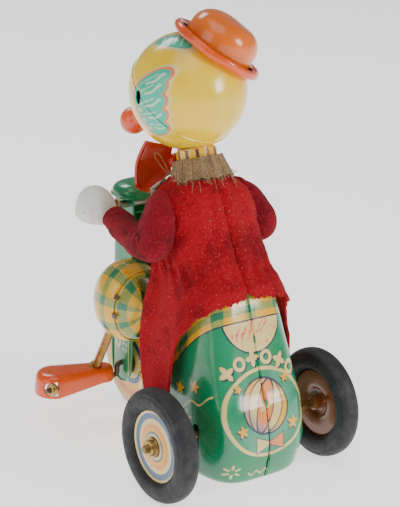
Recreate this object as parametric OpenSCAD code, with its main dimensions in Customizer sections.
// Tin wind-up tricycle with a clown rider.
// Millimetres. +Z is up, the toy rides towards -Y and the rider's left hand is at +X.
// The origin is on the floor, at the middle of the toy's length and width.

/* [Wheels] */
// Outer radius of the rear tyres
rear_r = 21; // [19:0.5:23]
// Outer radius of the front wheel
front_r = 20; // [18:0.5:21]
// Distance between the front and the rear axle
wheelbase = 72; // [68:1:76]
// Distance from the middle plane to each rear tyre's centre
tyre_x = 36; // [34:0.5:37]
// Half the width of a rear tyre
tyre_half = 4.2; // [3.5:0.1:4.4]
// Radius of the printed wheel covers
cover_r = 13.1; // [12:0.1:14]
// Radius of the rear axle
axle_r = 1.5; // [1.2:0.1:1.8]

/* [Pedals] */
// Radius of the bent crank wire
crank_r = 1.1; // [0.9:0.1:1.2]
// Throw of each pedal crank
crank_throw = 4.75; // [3:0.25:5]
// Distance from the middle plane to each crank arm
arm_x = 8.6; // [8.4:0.1:9]
// Distance from the middle plane to each pin's end
pin_end_x = 41; // [40:0.5:42]
// Radius of each lower leg tube
leg_r = 1.7; // [1.4:0.1:1.8]

/* [Clockwork] */
// Tooth module of the gear train
gear_m = 0.6; // [0.55:0.01:0.6]
// Teeth on both pinions
pinion_z = 12; // [12:1:14]
// Teeth on the intermediate wheel
inter_z = 36; // [32:1:36]
// Teeth on the great wheel
great_z = 42; // [38:1:42]
// Rise of the line from the rear axle to the intermediate arbor, in degrees
train_rise = 12; // [10:1:14]
// Distance from the middle plane to each motor plate
plate_x = 12; // [11:0.5:13]
// Radius of the spring arbor, which the key turns
arbor_r = 1.75; // [1.5:0.05:1.9]
// Radial clearance of every shaft in its hole
run_gap = 0.06; // [0.03:0.01:0.1]

/* [Tinplate] */
// Wall of the pressed body, head and thighs
wall = 0.8; // [0.6:0.1:1]
// Gap left at the seams between pressed halves
seam_gap = 0.05; // [0.02:0.01:0.1]

/* [Head] */
// Outer radius of the round head
head_r = 21.6; // [20:0.2:22]
// Radius of the hat's brim
brim_r = 18; // [16:0.5:19]
// Height of the hat's crown
crown_h = 14.5; // [12:0.5:15]
// Turn of the head towards the rider's left, in degrees
head_yaw = 18.7; // [10:0.1:25]

/* [Hidden] */
$fn = 48;
eps = 0.01;
big = 400;

green = "#148c5f";
yellow = "#f8cd1e";
orange = "#f06e1e";
brass = "#a07832";
steel = "#8c9096";
rust = "#8c4119";
red = "#be1423";

// Axle places, from the wheels and the wheelbase
rear_y = (front_r + wheelbase - rear_r) / 2;
front_y = rear_y - wheelbase;
rear_z = rear_r;
front_z = front_r;

// Gear train places in the side view, from the tooth counts
inter_d = gear_m * (pinion_z + inter_z) / 2;
great_d = gear_m * (pinion_z + great_z) / 2;
inter_y = rear_y - inter_d * cos(train_rise);
inter_z0 = rear_z + inter_d * sin(train_rise);
great_y = inter_y - great_d * cos(train_rise);
great_z0 = inter_z0 - great_d * sin(train_rise);

// Planes of the gears across the toy
first_x = -9;
second_x = -4;
spring_x = 2;
gear_w = 1.6;

// Height of the body's underside, and of the torso's top at the neck
floor_gap = 5;
neck_z = 108;

// Neck, head and hat
neck_y = 4.5;
neck_tilt = 20;
head_c = [0, -4.6, 137.2];
seam_n = [0.205, -0.606, -0.769];
seam_off = 3.8;
hat_n = [-0.4526, 0.2853, 0.8452];
hat_off = 16.8;
nose_v = [7.57, -24.3, -15.83];
nose_r = 5.2;

// Thighs
thigh_c = [17, -15.4, 55.7];
thigh_size = [13.3, 14, 16];
thigh_seam_y = -8;
body_front_y = -6.3;
body_side = 20.2;

// Slot in each knee, from its lowest corner
slot_at = [17, -35.4, 35.7];
slot_size = [5.8, 21, 18];

// Pressed body and torso: height, front, back, half width and squareness of each level
BODY = [
    [floor_gap, -8.5, 49.5, 18.6, 5], [7.7, -10, 51.5, 20.1, 5], [19.4, -10, 53.2, 20.5, 5],
    [32, -10, 50.4, 20.5, 5], [36, -9.5, 48.5, 20.3, 5], [39.5, -6, 47, 20.1, 4.6],
    [48, -6, 44, 19.4, 4.4], [56, -6, 41.3, 18.4, 4.2], [63, -6, 39, 17.6, 4], [70, -6.5, 36.2, 17, 3.6],
    [74, -7, 33, 16.6, 3.4], [77, -7.5, 28.6, 16.2, 3], [89, -7.5, 22.9, 15.8, 3],
    [98, -6.5, 18.5, 15.8, 3], [103, -5, 15.8, 13.8, 2.8], [106, -3.2, 13.4, 10.8, 2.4],
    [neck_z, -1.5, 11, 8, 2.2]
];

// Felt coat: the same five numbers for each level
COAT = [
    [29, -9, 49.8, 25.2, 5], [45, -9, 47.8, 24.6, 4.8], [56, -9, 44.5, 23.6, 4.4], [66, -9, 40.2, 21.6, 4],
    [74, -9, 36.4, 19.6, 3.6], [77.5, -9.5, 32.4, 18.8, 3.2], [89, -9.5, 25.6, 18.2, 3],
    [98, -8.5, 21.2, 18.2, 3], [103, -7, 18.4, 16.2, 2.8], [107.5, -4.5, 14.6, 11, 2.4]
];

// ---------- shared shapes ----------

// Mirrors its children to the rider's right when side is -1
module on_side(side) {
    if (side > 0) children();
    else mirror([1, 0, 0]) children();
}

// Round rod along X between two places
module x_rod(r, x0, x1, y, z) {
    translate([x0, y, z]) rotate([0, 90, 0]) cylinder(r = r, h = x1 - x0);
}

// Turns a profile of [radius, x] points round an axle along X
module x_turned(y, z, profile) {
    translate([0, y, z]) rotate([90, 0, 90]) rotate_extrude($fn = 96) polygon(profile);
}

// Carries a flat drawing in [y, z] to a plate that starts at x0
module x_plate(x0, t) {
    translate([x0, 0, 0]) rotate([90, 0, 90]) linear_extrude(t) children();
}

// Points +Z along a direction
module aim(dir) {
    rotate([0, acos(dir[2] / norm(dir)), atan2(dir[1], dir[0])]) children();
}

// Rod between two points
module rod(a, b, r) {
    translate(a) aim(b - a) cylinder(r = r, h = norm(b - a));
}

// Rounded-rectangle ring: a superellipse of squareness n
function ring(level, inset, count) = [
    for (i = [0:count - 1])
        let (a = 360 * i / count,
             hx = level[3] - inset,
             hy = (level[2] - level[1]) / 2 - inset,
             cy = (level[2] + level[1]) / 2,
             c = cos(a),
             s = sin(a))
        [hx * sign(c) * pow(abs(c), 2 / level[4]), cy + hy * sign(s) * pow(abs(s), 2 / level[4]), level[0]]
];

// Solid through a list of levels, drawn in by inset
module loft(levels, inset = 0) {
    count = 40;
    points = [for (level = levels) each ring(level, inset, count)];
    last = len(levels) - 1;
    sides = [
        for (k = [0:last - 1], i = [0:count - 1])
            let (j = (i + 1) % count, a = k * count, b = a + count)
            each [[a + i, b + i, b + j], [a + i, b + j, a + j]]
    ];
    bottom = [for (i = [0:count - 1]) i];
    top = [for (i = [0:count - 1]) last * count + count - 1 - i];
    polyhedron(points = points, faces = concat(sides, [bottom, top]));
}

// Points along an arc round [cy, cz]
function arc(cy, cz, r, from, to, steps = 12) = [
    for (i = [0:steps]) let (a = from + (to - from) * i / steps) [cy + r * cos(a), cz + r * sin(a)]
];

// ---------- pressed body ----------

// Height and depth of the vertical slot that the rear axle passes
slot_low = 16.5;
slot_high = 23.5;
slot_half = 2;

module body_half(side) {
    levels_in = [for (level = BODY) [level[0] == floor_gap ? floor_gap - 1 : level[0] - wall, level[1],
        level[2], level[3], level[4]]];
    difference() {
        loft(BODY);
        loft(levels_in, wall);
        translate([side > 0 ? -big : -seam_gap, -big / 2, -eps])
            cube([big + seam_gap, big, big]);
        for (z = [slot_low, slot_high]) x_rod(slot_half, -big, big, rear_y, z);
        translate([-big, rear_y - slot_half, slot_low]) cube([2 * big, 2 * slot_half, slot_high - slot_low]);
        x_rod(arbor_r + 0.8, -big, 0, great_y, great_z0);
    }
}

module body_left() {
    color(green) body_half(1);
}

module body_right() {
    color(green) body_half(-1);
}

// Sheet under the clockwork, held between the body halves
plate_t = 0.8;
module base_plate() {
    level = BODY[0];
    color(steel) translate([0, 0, floor_gap]) linear_extrude(plate_t)
        polygon([for (p = ring(level, wall + 0.3, 64)) [p[0], p[1]]]);
}

// ---------- clockwork ----------

function involute(x) = tan(x) * 180 / PI - x;

// Half the angle of a tooth at radius r
function tooth_half(z, r) =
    let (pitch_r = gear_m * z / 2, base_r = pitch_r * cos(20), backlash = 0.08)
    90 / z - backlash / pitch_r * 180 / PI / 2 + involute(20) - involute(acos(min(1, base_r / r)));

// Outline of a spur gear with a tooth centred on +x
function gear_outline(z) =
    let (pitch_r = gear_m * z / 2,
         base_r = pitch_r * cos(20),
         root_r = pitch_r - 1.15 * gear_m,
         tip_r = pitch_r + 0.85 * gear_m,
         flank_r = max(base_r + eps, root_r),
         radii = [root_r, flank_r, (flank_r + pitch_r) / 2, pitch_r, (pitch_r + tip_r) / 2, tip_r])
    [
        for (i = [0:z - 1], k = [-6:6]) if (k != 0)
            let (r = radii[6 - abs(k)],
                 half = tooth_half(z, max(r, flank_r)) + (r < flank_r ? 8 / z : 0),
                 a = 360 * i / z + sign(k) * half)
            [r * cos(a), r * sin(a)]
    ];

// Spur gear about X: phase is the direction of one tooth in the side view
module spur(z, x, y0, z0, phase, bore) {
    translate([x, y0, z0]) rotate([90, 0, 90]) rotate([0, 0, phase]) linear_extrude(gear_w)
        difference() {
            polygon(gear_outline(z));
            circle(r = bore);
        }
}

// Direction from the rear axle to the intermediate arbor, and on to the great wheel
to_inter = 180 - train_rise;
to_great = 180 + train_rise;

module axle_pinion() {
    color(brass) spur(pinion_z, first_x, rear_y, rear_z, to_inter, axle_r);
}

module intermediate_wheel() {
    color(brass) spur(inter_z, first_x, inter_y, inter_z0, to_inter + 180 + 180 / inter_z, 1);
}

module intermediate_pinion() {
    color(brass) spur(pinion_z, second_x, inter_y, inter_z0, to_great, 1);
}

module intermediate_arbor() {
    color(steel) x_rod(1, -plate_x - 1, plate_x + 1, inter_y, inter_z0);
}

module great_wheel() {
    color(brass)
        spur(great_z, second_x, great_y, great_z0, to_great + 180 + 180 / great_z, arbor_r + run_gap);
}

module spring_arbor() {
    color(steel) x_rod(arbor_r, key_x - 1, plate_x + 1, great_y, great_z0);
}

// Twelve saw teeth, so that each quarter turn of the key looks the same
ratchet_teeth = 12;
ratchet_r = 5.2;
ratchet_x = second_x + gear_w + 0.3;
module ratchet_wheel() {
    color(steel) x_plate(ratchet_x, 1) translate([great_y, great_z0]) difference() {
        polygon([
            for (i = [0:ratchet_teeth - 1], tip = [0, 1])
                let (a = 360 * (i + 0.12 * tip) / ratchet_teeth, r = ratchet_r - 1 + tip)
                [r * cos(a), r * sin(a)]
        ]);
        circle(r = arbor_r);
    }
}

// Pawl on the great wheel's face, lifted just clear of the ratchet
click_y = great_y + 6.5;
click_z = great_z0 + 5;
module click() {
    color(steel) x_plate(second_x + gear_w + 0.1, 1.2) {
        translate([click_y, click_z]) circle(r = 1.6);
        polygon([[click_y - 0.5, click_z + 1.5], [click_y - 6, click_z + 1.9], [click_y - 6.2, click_z + 1],
            [click_y, click_z - 1.5]]);
    }
}

module click_spring() {
    color(brass) x_plate(second_x + gear_w + 0.1, 1)
        polygon(concat(arc(great_y, great_z0, 10.6, 55, 120, 10), arc(great_y, great_z0, 10.3, 120, 55, 10)));
}

// Flat spring coiled round the arbor, with its outer end hooked on a pillar
spring_turns = 7;
module mainspring() {
    inner_r = arbor_r + 0.5;
    outer_r = 12;
    steps = spring_turns * 30;
    function spiral_r(i) = inner_r + (outer_r - inner_r) * i / steps;
    color(steel) x_plate(spring_x, 7) translate([great_y, great_z0]) polygon(concat(
        [for (i = [0:steps]) [spiral_r(i) * cos(12 * i), spiral_r(i) * sin(12 * i)]],
        [for (i = [steps:-1:0]) [(spiral_r(i) + 0.45) * cos(12 * i), (spiral_r(i) + 0.45) * sin(12 * i)]]
    ));
}

pillar_places = [[-6, 9.5], [12, 34.6], [44, 12], [44, 31]];
pillar_r = 1.3;
plate_low = 7.2;
plate_high = 38;

module motor_plate(side) {
    color(steel) x_plate(side > 0 ? plate_x : -plate_x - 1, 1) difference() {
        polygon(concat(arc(-5.5, plate_low + 3, 3, 270, 180, 6), arc(-3.5, plate_high - 6, 5, 180, 90, 6),
            arc(42, plate_high - 4, 4, 90, 0, 6), arc(43, plate_low + 3, 3, 0, -90, 6)));
        translate([rear_y, rear_z]) circle(r = axle_r + run_gap);
        translate([inter_y, inter_z0]) circle(r = 1 + run_gap);
        translate([great_y, great_z0]) circle(r = arbor_r + run_gap);
        for (p = pillar_places) translate(p) circle(r = pillar_r);
    }
}

module motor_plate_left() {
    motor_plate(1);
}

module motor_plate_right() {
    motor_plate(-1);
}

module motor_pillars() {
    color(brass) for (p = pillar_places) x_rod(pillar_r, -plate_x - 1.5, plate_x + 1.5, p[0], p[1]);
}

// Butterfly key on the right, in front of the rear wheel
key_x = -31;
key_t = 1.2;
wing_r = 3.4;
wing_off = 4;
module key_discs(off, r, t) {
    translate([key_x + 3.5, great_y, great_z0]) rotate([35, 0, 0]) for (w = [-1, 1])
        translate([0, 0, w * off]) rotate([90, 0, 0]) cylinder(r = r, h = t, center = true);
}

module winding_key() {
    color(steel) difference() {
        union() {
            x_rod(2.5, key_x, -21.5, great_y, great_z0);
            key_discs(wing_off, wing_r, key_t);
        }
        x_rod(arbor_r, key_x - 1, -21, great_y, great_z0);
        key_discs(wing_off + 0.6, 1.5, 2 * key_t);
    }
}

// ---------- rear axle and wheels ----------

axle_end = 43;
module rear_axle() {
    color(brass) x_rod(axle_r, -axle_end, axle_end, rear_y, rear_z);
}

module tyre(side) {
    rim_r = cover_r;
    mid_r = (rear_r + rim_r) / 2;
    color("#3c3c41") on_side(side) translate([0, rear_y, rear_z]) rotate([90, 0, 90])
        rotate_extrude($fn = 96) polygon([
            for (i = [0:31]) let (a = 360 * i / 32)
                [mid_r + (rear_r - mid_r) * cos(a), tyre_x + tyre_half * sin(a)]
        ]);
}

module tyre_left() {
    tyre(1);
}

module tyre_right() {
    tyre(-1);
}

// Printed disc outside each rear wheel, pressed tight on the axle
module wheel_cover(side) {
    color("#e6a03c") on_side(side) x_turned(rear_y, rear_z, [
        [axle_r, 38.6], [3, 38.6], [5, 38.2], [cover_r - 1.2, 37.6], [cover_r, 37.9], [cover_r, 37.3],
        [cover_r - 1.2, 37.1], [5, 37.7], [3, 38.1], [axle_r, 38.1]
    ]);
}

module wheel_cover_left() {
    wheel_cover(1);
}

module wheel_cover_right() {
    wheel_cover(-1);
}

// Rust-brown disc inside each rear wheel: a flat ring, a deep dish and a hub sleeve
module wheel_back(side) {
    color(rust) on_side(side) x_turned(rear_y, rear_z, [
        [axle_r, 33.2], [2.6, 33.2], [2.6, 36.4], [4.6, 36.4], [6.2, 34.9], [cover_r - 1, 34.5],
        [cover_r - 0.05, 34.9], [cover_r - 0.05, 35.5], [cover_r - 1, 35.1], [6.5, 35.5],
        [4.9, 37], [axle_r, 37]
    ]);
}

module wheel_back_left() {
    wheel_back(1);
}

module wheel_back_right() {
    wheel_back(-1);
}

// Washer and peened collar that hold each wheel on the axle
module hub_collar(side) {
    color(brass) on_side(side) x_turned(rear_y, rear_z, [
        [axle_r, 38.7], [3.6, 38.7], [3.6, 39.4], [2.9, 39.4], [2.9, 40.9], [2.4, 41.3], [axle_r, 41.3]
    ]);
}

module hub_collar_left() {
    hub_collar(1);
}

module hub_collar_right() {
    hub_collar(-1);
}

// ---------- front wheel, crank and feet ----------

disc_r = front_r - 1.1;
module front_disc(side) {
    color("#e6a03c") on_side(side) x_turned(front_y, front_z, [
        [crank_r, 3.4], [4, 3.4], [6, 2.7], [disc_r, 1.5], [disc_r, 0.9], [6, 2.1], [4, 2.8], [crank_r, 2.8]
    ]);
}

module front_disc_left() {
    front_disc(1);
}

module front_disc_right() {
    front_disc(-1);
}

module front_tyre() {
    color("#3c3c41") x_turned(front_y, front_z, [
        [disc_r + 0.05, -1.5], [front_r - 0.4, -1.5], [front_r, -0.8], [front_r, 0.8], [front_r - 0.4, 1.5],
        [disc_r + 0.05, 1.5]
    ]);
}

// One side of the crank: the shaft, the arm and the pedal pin; dir is the way that the arm points
module crank_side(side, dir) {
    pin_z = front_z + dir * crank_throw;
    on_side(side) {
        x_rod(crank_r, 0, arm_x, front_y, front_z);
        translate([arm_x, front_y, front_z]) sphere(r = crank_r);
        translate([arm_x, front_y, min(front_z, pin_z)]) cylinder(r = crank_r, h = crank_throw);
        translate([arm_x, front_y, pin_z]) sphere(r = crank_r);
        x_rod(crank_r, arm_x, pin_end_x, front_y, pin_z);
    }
}

// Bent wire: the left arm hangs down and the right arm stands up
module crank() {
    color("#5a4632") {
        crank_side(1, -1);
        crank_side(-1, 1);
    }
}

function pin_height(side) = front_z - side * crank_throw;

module pedal_collar(side) {
    color(brass) on_side(side) x_turned(front_y, pin_height(side), [
        [crank_r, 36.6], [2.2, 36.6], [2.6, 37.2], [2.6, 38.4], [2, 39], [crank_r, 39]
    ]);
}

module pedal_collar_left() {
    pedal_collar(1);
}

module pedal_collar_right() {
    pedal_collar(-1);
}

// Solid outline of a splayed shoe, measured from its pedal pin
heel_at = [15.6, -1];
toe_at = [33.8, -6.2];
shoe_top = 5.4;
module shoe_form(inset) {
    hull() {
        translate([heel_at[0], heel_at[1], shoe_top - 6]) cylinder(r = 5.2 - inset, h = 6 - inset, $fn = 32);
        translate([toe_at[0], toe_at[1], -4]) cylinder(r = 7.5 - inset, h = 6 - inset, $fn = 32);
        translate([toe_at[0] - 2, toe_at[1] - 1, 1.4 - inset]) sphere(r = 4.4 - inset, $fn = 32);
    }
}

module shoe(side) {
    color(orange) on_side(side) translate([0, front_y, pin_height(side)]) difference() {
        shoe_form(0);
        translate([0, 0, -eps]) shoe_form(0.8);
        rotate([0, 90, 0]) cylinder(r = crank_r + run_gap, h = 60);
        translate([35.9, 0, 0]) rotate([0, 90, 0]) cylinder(r = 3, h = 20);
    }
}

module shoe_left() {
    shoe(1);
}

module shoe_right() {
    shoe(-1);
}

// Lower leg tube: stands on the shoe and ends loose inside the hollow thigh
leg_foot = [18, -1, 5];
leg_top = [20, 14.6, 29];
module leg(side) {
    color("#96601e") on_side(side) translate([0, front_y, pin_height(side)]) difference() {
        rod(leg_foot, leg_top, leg_r);
        translate([0, -10, shoe_top + 0.2 - 11]) cube([40, 40, 11]);
    }
}

module leg_left() {
    leg(1);
}

module leg_right() {
    leg(-1);
}

// ---------- fork, column and handlebar ----------

fork_x = 5.8;
fork_t = 0.7;
module fork(side) {
    top_z = 52;
    color(green) on_side(side) {
        x_plate(fork_x, fork_t) difference() {
            polygon(concat(
                arc(front_y, front_z - 1, 5.2, 200, 340, 14),
                [[front_y + 7, front_z + 10], [front_y + 5.5, top_z], [front_y - 4.5, top_z],
                    [front_y - 4.5, column_low - 0.4], [front_y - 6, front_z + 12]]));
            translate([front_y, front_z]) circle(r = crank_r + run_gap);
        }
        translate([fork_x + fork_t, front_y - 4, 43]) cube([0.6, 8, 8]);
    }
}

module fork_left() {
    fork(1);
}

module fork_right() {
    fork(-1);
}

// Steering column: a channel that is open at its back
column_half = 8;
column_low = front_r * 2 + 1.6;
column_high = 91;
column_front = front_y - 5.5;
column_back = front_y + 9;
bar_y = front_y + 5.2;
bar_z = 88.2;
bar_r = 1.5;
module column() {
    color(green) difference() {
        translate([-column_half, column_front, column_low])
            cube([2 * column_half, column_back - column_front, column_high - column_low]);
        translate([wall - column_half, column_front + wall, column_low - 1])
            cube([2 * (column_half - wall), 30, column_high]);
        x_rod(bar_r, -20, 20, bar_y, bar_z);
    }
}

// Rounded cap over the column's top
module cowl_form(inset) {
    hull() for (x = [-1, 1], y = [-1, 1]) translate([x * 6.5, bar_y - 2 + y * 2.6, column_high - 0.3])
        sphere(r = 5.6 - inset, $fn = 32);
}

module cowl() {
    color(green) difference() {
        cowl_form(0);
        cowl_form(wall);
        translate([-30, -80, column_high - 20 + 0.1]) cube([60, 80, 20]);
    }
}

module handlebar() {
    color(steel) x_rod(bar_r, -24, 24, bar_y, bar_z);
}

// Channel over the front wheel that joins the column to the body
module backbone() {
    back_y = body_front_y - 0.1;
    color(green) difference() {
        translate([-3, column_front + wall + 0.1, 42]) cube([6, back_y - column_front - wall - 0.1, 8]);
        translate([-2.2, column_front - 1, 41]) cube([4.4, 60, 8.2]);
    }
}

// ---------- thighs ----------

// Egg-shaped thigh, drawn in by inset
module thigh_form(inset) {
    size = thigh_size - [inset, inset, inset];
    levels = 14;
    count = 26;
    points = [
        for (k = [1:levels - 1], i = [0:count - 1])
            let (v = 180 * k / levels, h = 360 * i / count)
            [size[0] * sin(v) * cos(h), size[1] * sin(v) * sin(h), -size[2] * cos(v)]
    ];
    rings = levels - 2;
    sides = [
        for (k = [0:rings - 1], i = [0:count - 1])
            let (j = (i + 1) % count, a = k * count, b = a + count)
            each [[a + i, b + i, b + j], [a + i, b + j, a + j]]
    ];
    bottom = [for (i = [0:count - 1]) i];
    top = [for (i = [0:count - 1]) rings * count + count - 1 - i];
    translate(thigh_c) polyhedron(points = points, faces = concat(sides, [bottom, top]));
}

module thigh_shell() {
    difference() {
        thigh_form(0);
        thigh_form(wall);
        translate(slot_at) cube(slot_size);
    }
}

// Front half of a thigh, with the slot that the lower leg slides in
module knee(side) {
    color(yellow) on_side(side) difference() {
        thigh_shell();
        translate([-50, thigh_seam_y - seam_gap, 0]) cube([100, 50, 100]);
    }
}

module knee_left() {
    knee(1);
}

module knee_right() {
    knee(-1);
}

// Back half of a thigh, cut away where the body stands
module thigh(side) {
    color(yellow) on_side(side) difference() {
        thigh_shell();
        translate([-50, thigh_seam_y - 50, 0]) cube([100, 50, 100]);
        translate([-50, body_front_y, 0]) cube([50 + body_side, 50, 100]);
    }
}

module thigh_left() {
    thigh(1);
}

module thigh_right() {
    thigh(-1);
}

// ---------- neck, head and hat ----------

neck_dir = [0, -sin(neck_tilt), cos(neck_tilt)];
neck_r = 7.4;
neck_h = 11.6;
pin_r = 1.6;
module neck() {
    color(yellow) difference() {
        translate([0, neck_y, neck_z]) aim(neck_dir) union() {
            translate([0, 0, -3]) cylinder(r = neck_r, h = neck_h);
            cylinder(r = pin_r, h = 14);
        }
        translate([-20, -20, neck_z - 20 + 0.05]) cube([40, 60, 20]);
    }
}

// Hollow head with the neck pin's bush and the two ear slots
module head_shell() {
    difference() {
        union() {
            difference() {
                translate(head_c) sphere(r = head_r, $fn = 96);
                translate(head_c) sphere(r = head_r - wall, $fn = 96);
            }
            intersection() {
                translate([0, neck_y, neck_z]) aim(neck_dir) translate([0, 0, 6]) cylinder(r = 3.2, h = 6);
                translate(head_c) sphere(r = head_r - 0.3, $fn = 96);
            }
        }
        translate([0, neck_y, neck_z]) aim(neck_dir) cylinder(r = pin_r + run_gap, h = 20);
        for (side = [1, -1]) translate(head_c) rotate([0, 0, side > 0 ? 1.5 : 2 * head_yaw - 1.5])
            translate([side * head_r, 0, 0]) intersection() {
                cube([6, 3, 5], center = true);
                rotate([0, 90, 0]) cylinder(r = 2.5, h = 6, center = true);
            }
    }
}

// Half space in front of the head's seam
module before_seam(gap) {
    translate(head_c) aim(seam_n) translate([-50, -50, seam_off + gap]) cube([100, 100, 50]);
}

module head_back() {
    color("#f5d75f") difference() {
        head_shell();
        before_seam(0);
    }
}

module head_front() {
    color("#f5d75f") intersection() {
        head_shell();
        before_seam(seam_gap);
    }
}

// Bulb nose with a short neck that enters the face
module nose() {
    dir = nose_v / norm(nose_v);
    foot = head_r + 0.05;
    reach = norm(nose_v);
    color(orange) translate(head_c) aim(dir) rotate_extrude($fn = 48) polygon(concat(
        [[0, foot], [3.6, foot - 0.3], [3.9, foot + 1]],
        [for (a = [-40:10:90]) [nose_r * cos(a), reach + nose_r * sin(a)]]
    ));
}

// Bowler hat pressed from one sheet, with a rolled-up brim
module hat() {
    crown_r = 14.4;
    bend_r = 8.5;
    color(orange) translate(head_c) aim(hat_n) translate([0, 0, hat_off])
        rotate_extrude($fn = 96) polygon(concat(
        [[crown_r - wall, 0.3], [crown_r + 0.9, -0.5], [brim_r - 1.4, -0.5], [brim_r, 1.2], [brim_r, 2.9]],
        [[brim_r - 0.5, 2.9], [brim_r - 0.7, 1.3], [brim_r - 1.9, 0.3], [crown_r + 0.9, 0.2], [crown_r, 1]],
        [for (a = [0:15:90]) [crown_r - bend_r + bend_r * cos(a), crown_h - bend_r + bend_r * sin(a)]],
        [[0, crown_h + 0.4], [0, crown_h - 0.5]],
        [for (a = [90:-15:0])
            [crown_r - bend_r + (bend_r - wall) * cos(a), crown_h - bend_r + (bend_r - wall) * sin(a)]]
    ));
}

// ---------- clothes ----------

// Side view of the swallowtail coat: front edge, tail, curved hem over the seat and back
coat_side = [
    [-4, 112], [-3, 100], [2.5, 77], [2.4, 63], [4.2, 48], [6.6, 37], [9, 30.5], [22.8, 31], [25, 43],
    [26.4, 54], [28.4, 58], [32.4, 64.5], [35.6, 68], [38, 70], [60, 70.6], [60, 112]
];
cloth_t = 1.4;

module coat() {
    color(red) intersection() {
        difference() {
            loft(COAT);
            loft([for (level = COAT) [level[0] - (level[0] < 30 ? 1 : 0) + (level[0] > 107 ? 1 : 0), level[1],
                level[2], level[3], level[4]]], cloth_t);
        }
        translate([-50, 0, 0]) rotate([90, 0, 90]) linear_extrude(100) polygon(coat_side);
    }
}

// Frayed strip round the neck
module ruff() {
    color("#a08764") difference() {
        translate([0, neck_y, neck_z]) rotate_extrude($fn = 64)
            polygon([[8.4, 0.1], [12, 0.1], [12.4, 1.4], [10.4, 4.4], [9.2, 4.4]]);
        translate([0, neck_y, neck_z]) aim(neck_dir) translate([0, 0, -4]) cylinder(r = neck_r + 0.1, h = 12);
    }
}

// Wide pressed bow tie under the chin
module bow_tie() {
    knot = [0, -11.5, 106];
    color(orange) {
        translate(knot) rotate([90, 0, 0]) cylinder(r = 2.8, h = 3.4, center = true);
        for (side = [-1, 1]) hull() {
            translate(knot + [side * 2, 0, 0]) sphere(r = 1.4, $fn = 20);
            translate([side * 14.6, -9.8, 119.2]) sphere(r = 1.2, $fn = 20);
            translate([side * 15.4, -13, 101]) sphere(r = 1.2, $fn = 20);
            translate([side * 9.5, -14.5, 97.6]) sphere(r = 1.2, $fn = 20);
        }
    }
}

shoulder = [18, 6, 99];
elbow = [25.6, 12.2, 88];
wrist = [22.4, -18, 88];
module sleeve(side) {
    color("#aa1e3c") on_side(side) difference() {
        union() {
            hull() {
                translate(shoulder) sphere(r = 6.4, $fn = 20);
                translate(elbow) sphere(r = 6.8, $fn = 20);
            }
            hull() {
                translate(elbow) sphere(r = 6.4, $fn = 20);
                translate(wrist) sphere(r = 4.4, $fn = 20);
            }
        }
        loft(COAT, -0.1);
    }
}

module sleeve_left() {
    sleeve(1);
}

module sleeve_right() {
    sleeve(-1);
}

// White mitten: domed on top, flat below, gripping the handlebar
hand_c = [22.3, -31, 84.2];
module hand(side) {
    color("#f0f0ea") on_side(side) difference() {
        hull() {
            for (y = [-2.6, 2.6]) {
                translate(hand_c + [0, y, 6]) sphere(r = 7, $fn = 32);
                translate(hand_c + [0, y, 0.5]) cylinder(r = 7.2, h = 4, $fn = 32);
            }
        }
        x_rod(bar_r, 0, 60, bar_y, bar_z);
        translate(wrist) sphere(r = 4.5, $fn = 28);
    }
}

module hand_left() {
    hand(1);
}

module hand_right() {
    hand(-1);
}

// ---------- nodes ----------

body_left();
body_right();
base_plate();
motor_plate_left();
motor_plate_right();
motor_pillars();
mainspring();
spring_arbor();
ratchet_wheel();
great_wheel();
click();
click_spring();
intermediate_arbor();
intermediate_wheel();
intermediate_pinion();
winding_key();
rear_axle();
axle_pinion();
tyre_left();
tyre_right();
wheel_cover_left();
wheel_cover_right();
wheel_back_left();
wheel_back_right();
hub_collar_left();
hub_collar_right();
front_disc_left();
front_disc_right();
front_tyre();
crank();
pedal_collar_left();
pedal_collar_right();
shoe_left();
shoe_right();
leg_left();
leg_right();
fork_left();
fork_right();
column();
cowl();
handlebar();
backbone();
knee_left();
knee_right();
thigh_left();
thigh_right();
neck();
head_back();
head_front();
nose();
hat();
coat();
ruff();
bow_tie();
sleeve_left();
sleeve_right();
hand_left();
hand_right();
